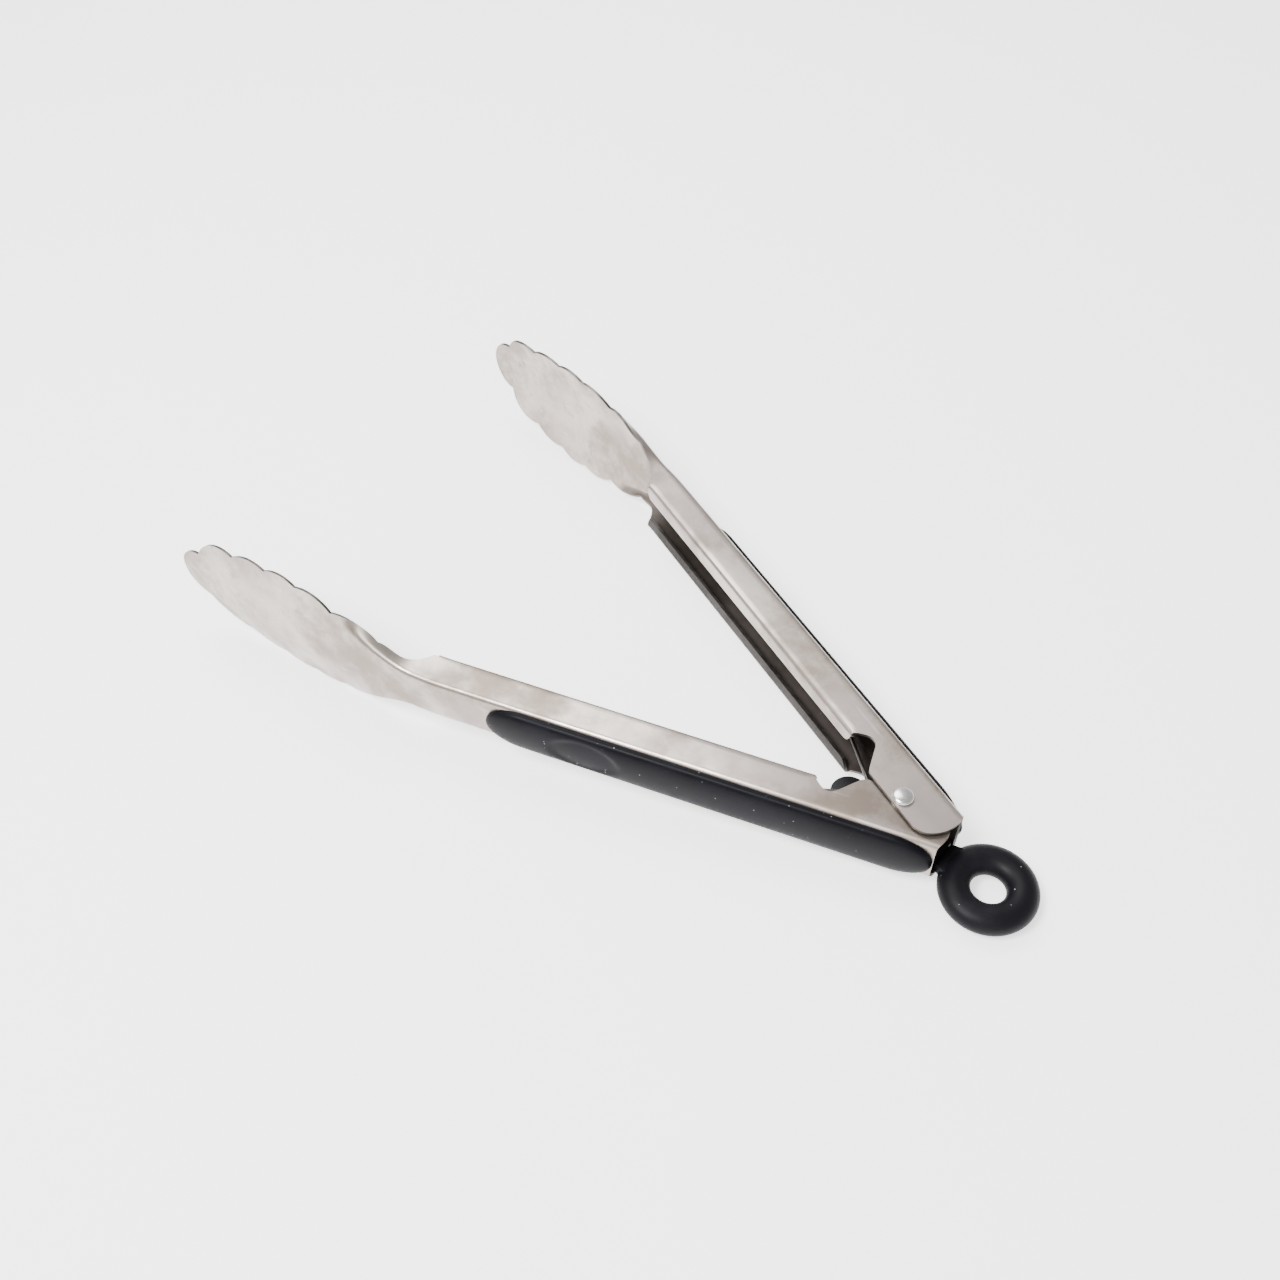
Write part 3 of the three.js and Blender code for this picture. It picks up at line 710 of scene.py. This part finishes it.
def effect(name, inputs, outputs, build):
    """A node group; inputs and outputs are name, socket type and, for inputs, the default."""
    tree = bpy.data.node_groups.new(name, "ShaderNodeTree")
    for label, kind, default in inputs:
        socket = tree.interface.new_socket(label, in_out="INPUT", socket_type=kind)
        if default is not None:
            socket.default_value = default
    for label, kind in outputs:
        tree.interface.new_socket(label, in_out="OUTPUT", socket_type=kind)
    nodes = Nodes(tree)
    entry = tree.nodes.new("NodeGroupInput")
    leave = tree.nodes.new("NodeGroupOutput")
    build(nodes, entry.outputs, leave)
    return tree


FLOAT, VECTOR = "NodeSocketFloat", "NodeSocketVector"


def build_grain(n, source, out):
    """Fine lines along local x, soft cloudy blotches and faint scratches."""
    stretched = n.add("Mapping", Vector=source["Vector"], Scale=(0.02, 1.0, 1.0)).outputs[0]
    fine = n.noise(stretched, 2600.0, 2.0, 0.6)
    coarse = n.noise(stretched, 500.0, 3.0, 0.6)
    lines = n.math("ADD", n.math("MULTIPLY", fine, 0.6), n.math("MULTIPLY", coarse, 0.4))
    blotch = n.noise(source["Vector"], 55.0, 5.0, 0.62)
    patches = n.noise(source["Vector"], 17.0, 3.0, 0.5)
    clouds = n.math("ADD", n.math("MULTIPLY", blotch, 0.55), n.math("MULTIPLY", patches, 0.45))
    scratched = n.add(
        "Mapping", Vector=source["Vector"], Rotation=(0, 0, 0.35), Scale=(0.06, 1.0, 1.0),
    )
    marks = n.between(n.noise(scratched.outputs[0], 700.0, 2.0, 0.5), 0.66, 0.78)
    for label, value in (("Lines", lines), ("Clouds", clouds), ("Marks", marks)):
        n.set(out, label, value)


GRAIN = effect(
    "metal_grain", [("Vector", VECTOR, None)],
    [("Lines", FLOAT), ("Clouds", FLOAT), ("Marks", FLOAT)], build_grain,
)


def build_dust(n, source, out):
    """Small pale specks, sparse, and a soft smudge mask."""
    cells = n.add(
        "TexVoronoi", {"feature": "F1"},
        Vector=source["Vector"], Scale=source["Scale"], Randomness=1.0,
    )
    near = n.between(cells.outputs["Distance"], 0.03, 0.12, 1.0, 0.0)
    chosen = n.between(n.add("SeparateColor", Color=cells.outputs["Color"]).outputs[0], 0.62, 0.92)
    specks = n.math("MULTIPLY", near, chosen)
    smudge = n.between(n.noise(source["Vector"], 45.0, 4.0, 0.6), 0.42, 0.68)
    n.set(out, "Specks", specks)
    n.set(out, "Smudge", smudge)


DUST = effect(
    "dust", [("Vector", VECTOR, None), ("Scale", FLOAT, 420.0)],
    [("Specks", FLOAT), ("Smudge", FLOAT)], build_dust,
)


def build_moulded(n, source, out):
    """The fine uneven surface of moulded rubber or plastic, as a height."""
    fine = n.noise(source["Vector"], 2200.0, 2.0, 0.6)
    broad = n.noise(source["Vector"], 160.0, 3.0, 0.5)
    halves = [n.math("MULTIPLY", layer, 0.5) for layer in (fine, broad)]
    n.set(out, "Height", n.math("ADD", *halves))


MOULDED = effect("moulded", [("Vector", VECTOR, None)], [("Height", FLOAT)], build_moulded)


# ---------------------------------------------------------------- materials

STEEL_DEEP, STEEL_PALE = (0.25, 0.205, 0.172, 1), (0.47, 0.42, 0.38, 1)
STEEL_STAIN = (0.17, 0.155, 0.13, 1)
STEEL_ROSY = (0.42, 0.355, 0.35, 1)
STEEL_SCRATCH = (0.85, 0.83, 0.80, 1)
STEEL_SPECK = (0.2, 0.18, 0.16, 1)
STEEL_SHINE = 0.35
# Painted shade: near-black colours painted on the channel's shaded inside and on the back arm's
# lower lip
PAINTED_SHADE_DEEP, PAINTED_SHADE_PALE = (0.003, 0.0023, 0.002, 1), (0.016, 0.012, 0.0102, 1)
DUST_GREY = (0.55, 0.55, 0.56, 1)


def new_material(name):
    material = bpy.data.materials.new(name)
    material.use_nodes = True
    nodes = Nodes(material.node_tree)
    shader = nodes.add("BsdfPrincipled")
    output = nodes.add("OutputMaterial")
    nodes.tree.links.new(shader.outputs[0], output.inputs[0])
    return material, nodes, shader


def use(nodes, tree, vector, **values):
    node = nodes.tree.nodes.new("ShaderNodeGroup")
    node.node_tree = tree
    nodes.set(node, "Vector", vector)
    for key, value in values.items():
        nodes.set(node, key, value)
    return node.outputs


def along_arm(nodes, place):
    """Metres along, outwards from and up an arm, from the pivot."""
    moved = nodes.add("VectorMath", {"operation": "SUBTRACT"})
    nodes.set(moved, "0", nodes.add("TexCoord").outputs["Object"])
    nodes.set(moved, "1", tuple(PIVOT))
    parts = []
    for column in range(3):
        part = nodes.add("VectorMath", {"operation": "DOT_PRODUCT"})
        nodes.set(part, "0", moved.outputs[0])
        nodes.set(part, "1", tuple(place.to_3x3().col[column].normalized()))
        parts.append(part.outputs["Value"])
    joined = nodes.add("CombineXYZ", X=parts[0], Y=parts[1], Z=parts[2])
    return joined.outputs[0], parts


def bump(nodes, shader, height, strength, distance):
    node = nodes.add("Bump", Strength=strength, Distance=distance, Height=height)
    nodes.set(shader, "Normal", node.outputs[0])


def satin_steel(name, frame_of_arm, dark=0.0, lower_lip_shade=0.0):
    """Arm sheet; dark gives the inside of the channel painted shade, and the last argument gives
    painted shade to the lip nearest the table.
    """
    material, n, shader = new_material(name)
    place, (along, outwards, height) = along_arm(n, frame_of_arm)
    grain = use(n, GRAIN, place)
    dust = use(n, DUST, place, Scale=260.0)
    clouds, lines = grain["Clouds"], grain["Lines"]
    colour = n.mix(n.between(clouds, 0.40, 0.60), STEEL_DEEP, STEEL_PALE)
    stain = n.between(n.noise(place, 210.0, 5.0, 0.7), 0.54, 0.66)
    headward = n.between(along, 0.165, 0.215, 0.12, 0.42)
    colour = n.mix(n.math("MULTIPLY", stain, headward), colour, STEEL_STAIN)
    rosy = n.between(n.noise(place, 38.0, 2.0, 0.5), 0.45, 0.65)
    colour = n.mix(n.math("MULTIPLY", rosy, 0.45), colour, STEEL_ROSY)
    colour = n.mix(n.math("MULTIPLY", grain["Marks"], 0.25), colour, STEEL_SCRATCH)
    rough = n.between(clouds, 0.34, 0.66, 0.40, 0.24)
    rough = n.math("ADD", rough, n.math("MULTIPLY", lines, 0.10))
    # Painted shade: a near-black mix for the sheet where it lies in shade
    painted_shade_colour = n.mix(n.between(clouds, 0.38, 0.62), PAINTED_SHADE_DEEP, PAINTED_SHADE_PALE)
    painted_shade = None
    # Painted shade on the inside faces of the channel, fading out towards the channel's end
    if dark:
        painted_shade = n.math("MULTIPLY", n.between(along, 0.150, 0.176, 1.0, 0.0), dark)
        colour = n.mix(painted_shade, colour, painted_shade_colour)
    # Painted shade on the outside of the lower lip, which faces the same way as the lit upper lip
    if lower_lip_shade:
        low = n.between(height, 0.0, 0.002)
        edge = n.math("MULTIPLY", n.between(outwards, 0.0012, 0.0024, 1.0, 0.0), low)
        edge = n.math("MULTIPLY", edge, n.between(along, 0.020, 0.026))
        edge = n.math("MULTIPLY", edge, n.between(along, 0.154, 0.160, 1.0, 0.0))
        painted_shade = n.math("MULTIPLY", edge, lower_lip_shade)
        colour = n.mix(painted_shade, colour, painted_shade_colour)
    metallic, shine = 1.0, STEEL_SHINE
    # Where shade is painted, the sheet also loses its metal shine, so that it reads dark
    if painted_shade:
        metallic = n.math("SUBTRACT", 1.0, painted_shade)
        shine = n.math("SUBTRACT", STEEL_SHINE, n.math("MULTIPLY", painted_shade, 0.33))
    specks = n.math("MULTIPLY", dust["Specks"], 0.25)
    n.set(shader, "Base Color", n.mix(specks, colour, STEEL_SPECK))
    n.set(shader, "Roughness", rough)
    n.set(shader, "Metallic", metallic)
    n.set(shader, "Specular IOR Level", shine)
    n.set(shader, "Anisotropic", 0.35)
    uneven = n.math("ADD", lines, n.math("MULTIPLY", clouds, 1.2))
    bump(n, shader, uneven, 0.22, 0.00006)
    return material


def bright_steel(name, colour=(0.80, 0.79, 0.78, 1), rough=0.16):
    material, n, shader = new_material(name)
    place = n.add("TexCoord").outputs["Object"]
    grain = use(n, GRAIN, place)
    dull = tuple(channel * 0.86 for channel in colour[:3]) + (1,)
    n.set(shader, "Base Color", n.mix(grain["Clouds"], dull, colour))
    n.set(shader, "Roughness", n.between(grain["Clouds"], 0.3, 0.7, rough, rough + 0.14))
    n.set(shader, "Metallic", 1.0)
    bump(n, shader, grain["Clouds"], 0.15, 0.00006)
    return material


def moulding(name, colour, lighter, rough, specks=0.0, grain=0.12, shine=0.12):
    """Rubber or plastic: an uneven colour, a fine surface and some dust."""
    material, n, shader = new_material(name)
    place = n.add("TexCoord").outputs["Object"]
    dust = use(n, DUST, place, Scale=430.0)
    surface = use(n, MOULDED, place)
    base = n.mix(dust["Smudge"], colour, lighter)
    if specks:
        base = n.mix(n.math("MULTIPLY", dust["Specks"], specks), base, DUST_GREY)
    n.set(shader, "Base Color", base)
    n.set(shader, "Roughness", n.between(dust["Smudge"], 0.0, 1.0, rough, rough + 0.08))
    n.set(shader, "Specular IOR Level", shine)
    bump(n, shader, surface["Height"], grain, 0.0002)
    return material


def cut_edge(name):
    """The sheet's sheared edge, darker than its faces."""
    material, n, shader = new_material(name)
    place = n.add("TexCoord").outputs["Object"]
    grain = use(n, GRAIN, place)
    colour = n.mix(grain["Clouds"], (0.06, 0.056, 0.053, 1), (0.17, 0.16, 0.15, 1))
    n.set(shader, "Base Color", colour)
    n.set(shader, "Roughness", n.between(grain["Lines"], 0.3, 0.7, 0.30, 0.48))
    n.set(shader, "Metallic", 1.0)
    return material


EDGE = cut_edge("sheet_edge")
# The inside materials and the back arm's lower lip carry painted shade
BACK_STEEL = [  # outside, inside and edge
    satin_steel("back_satin", BACK, lower_lip_shade=0.95), satin_steel("back_inside", BACK, 0.9), EDGE,
]
FRONT_STEEL = [satin_steel("front_satin", FRONT), satin_steel("front_inside", FRONT, 0.9), EDGE]
RUBBER = moulding(
    "soft_grip", (0.0018, 0.0018, 0.0032, 1), (0.0045, 0.0044, 0.0076, 1), 0.42,
    specks=0.4, shine=0.09,
)
RING_RUBBER = moulding(
    "ring_rubber", (0.004, 0.004, 0.0055, 1), (0.009, 0.009, 0.012, 1), 0.46, specks=0.5,
)
HARD = moulding(
    "hard_plastic", (0.008, 0.008, 0.009, 1), (0.016, 0.016, 0.017, 1), 0.34, grain=0.05,
)
NYLON = moulding(
    "pale_nylon", (0.74, 0.71, 0.62, 1), (0.80, 0.77, 0.69, 1), 0.42, grain=0.06,
)
RIVET_STEEL = bright_steel("rivet_steel")
WIRE_STEEL = bright_steel("spring_steel", (0.13, 0.12, 0.115, 1), 0.3)

# ---------------------------------------------------------------- the tongs

back_arm = make_arm("arm_back", OUTER_HALF, BACK, BACK_STEEL)
finish_piece(back_arm, "back_half", ["back_arm"])
front_arm = make_arm("arm_front", INNER_HALF, FRONT, FRONT_STEEL)
finish_piece(front_arm, "front_half", ["front_arm"])

for label, place in (("back", BACK), ("front", FRONT)):
    grip = make_grip("grip_" + label, place, [RUBBER])
    finish_piece(grip, label + "_half", [label + "_grip_skin"])

finish_piece(make_rivet([RIVET_STEEL]), "front_half", ["pivot_rivet"])

spring = make_spring([WIRE_STEEL])
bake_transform(spring)
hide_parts("torsion_spring")

slider = make_slider([HARD])
finish_piece(slider, "slider", ["lock_slider"])
ring = make_ring([RING_RUBBER])
finish_piece(ring, "slider", ["pull_ring"])

for node, material in (
    ("upper_friction_washer", NYLON), ("lower_friction_washer", NYLON), ("guide_spool", HARD),
    ("back_grip_core", HARD), ("front_grip_core", HARD),
):
    frame["nodes"][node].data.materials.clear()
    frame["nodes"][node].data.materials.append(material)
for label in ("back", "front"):
    for number in (1, 2, 3):
        node = frame["nodes"][f"{label}_grip_retainer_{number}"]
        node.data.materials.clear()
        node.data.materials.append(RIVET_STEEL)


# ---------------------------------------------------------------- stage

FLOOR_DROP = 0.0004  # keeps the floor clear of what rests on it


def make_floor():
    bm = bmesh.new()
    bmesh.ops.create_grid(bm, x_segments=1, y_segments=1, size=6.0)
    material, n, shader = new_material("floor_paper")
    place = n.add("TexCoord").outputs["Object"]
    paper = n.mix(n.noise(place, 3.0), (0.93, 0.93, 0.93, 1), (0.95, 0.95, 0.95, 1))
    n.set(shader, "Base Color", paper)
    n.set(shader, "Roughness", 0.9)
    n.set(shader, "Specular IOR Level", 0.1)
    n.set(shader, "Emission Color", (1.0, 1.0, 1.0, 1))
    n.set(shader, "Emission Strength", 1.5)
    new_object("floor", bm, Matrix.Translation((0, 0, -FLOOR_DROP)), [material])


def add_area(name, location, size, power):
    """A square light that faces the middle of the floor."""
    data = bpy.data.lights.new(name, "AREA")
    data.shape, data.size = "SQUARE", size
    data.energy = power
    light = bpy.data.objects.new(name, data)
    light.location = location
    light.rotation_mode = "QUATERNION"
    light.rotation_quaternion = (-Vector(location)).to_track_quat("-Z", "Y")
    bpy.context.scene.collection.objects.link(light)


def make_world(strength):
    """A soft studio: bright near the horizon, dimmer overhead, with faint dark cards."""
    world = bpy.data.worlds.new("studio")
    world.use_nodes = True
    bpy.context.scene.world = world
    n = Nodes(world.node_tree)
    direction = n.add("TexCoord").outputs["Generated"]
    height = n.add("SeparateXYZ", Vector=direction).outputs[2]
    shade = n.between(height, 0.30, 0.75, 0.0, 1.0)
    colour = n.mix(shade, (1.5, 1.48, 1.46, 1), (0.72, 0.71, 0.71, 1))
    card = n.between(n.noise(direction, 1.6, 1.0, 0.4), 0.50, 0.62)
    colour = n.mix(n.math("MULTIPLY", card, 0.3), colour, (0.20, 0.20, 0.22, 1))
    background = n.add("Background", Color=colour, Strength=strength)
    output = n.add("OutputWorld")
    n.tree.links.new(background.outputs[0], output.inputs[0])


make_floor()
make_world(0.75)
add_area("key", (-0.55, 0.3, 1.0), 0.7, 12)
add_area("overhead", (-0.08, -0.52, 0.92), 0.35, 20)
add_area("fill", (0.9, -0.9, 0.7), 1.2, 4)


def make_camera():
    """Looks down at the tongs; ahead, aside and above (mm) lead from it to the pivot."""
    elevation, roll, turn = math.radians(49.55), math.radians(-0.14), math.radians(41.38)
    ahead, aside, above = 416.7, 77.84, -53.21
    right = Vector((1, 0, 0))
    level_up = Vector((0, math.sin(elevation), math.cos(elevation)))
    forward = Vector((0, math.cos(elevation), -math.sin(elevation)))
    across = right * math.cos(roll) + level_up * math.sin(roll)
    up = level_up * math.cos(roll) - right * math.sin(roll)
    centre = -(across * aside + up * above + forward * ahead)
    to_ring = Vector((math.cos(turn), -math.sin(turn), 0))
    sideways = Vector((math.sin(turn), math.cos(turn), 0))

    def tongs_frame(v):
        return Vector((v.dot(to_ring), v.dot(sideways), v.z))

    data = bpy.data.cameras.new("camera")
    data.lens, data.sensor_width = 38.88, 36.0
    data.clip_start, data.clip_end = 0.01, 50
    camera = bpy.data.objects.new("camera", data)
    bpy.context.scene.collection.objects.link(camera)
    turn_to_row = MIDDLE.to_3x3().normalized()
    axes = [turn_to_row @ tongs_frame(v) for v in (across, up, -forward)]
    rotation = Matrix([[axis[i] for axis in axes] for i in range(3)]).to_4x4()
    camera.matrix_world = Matrix.Translation(MIDDLE @ tongs_frame(centre)) @ rotation
    bpy.context.scene.camera = camera


make_camera()
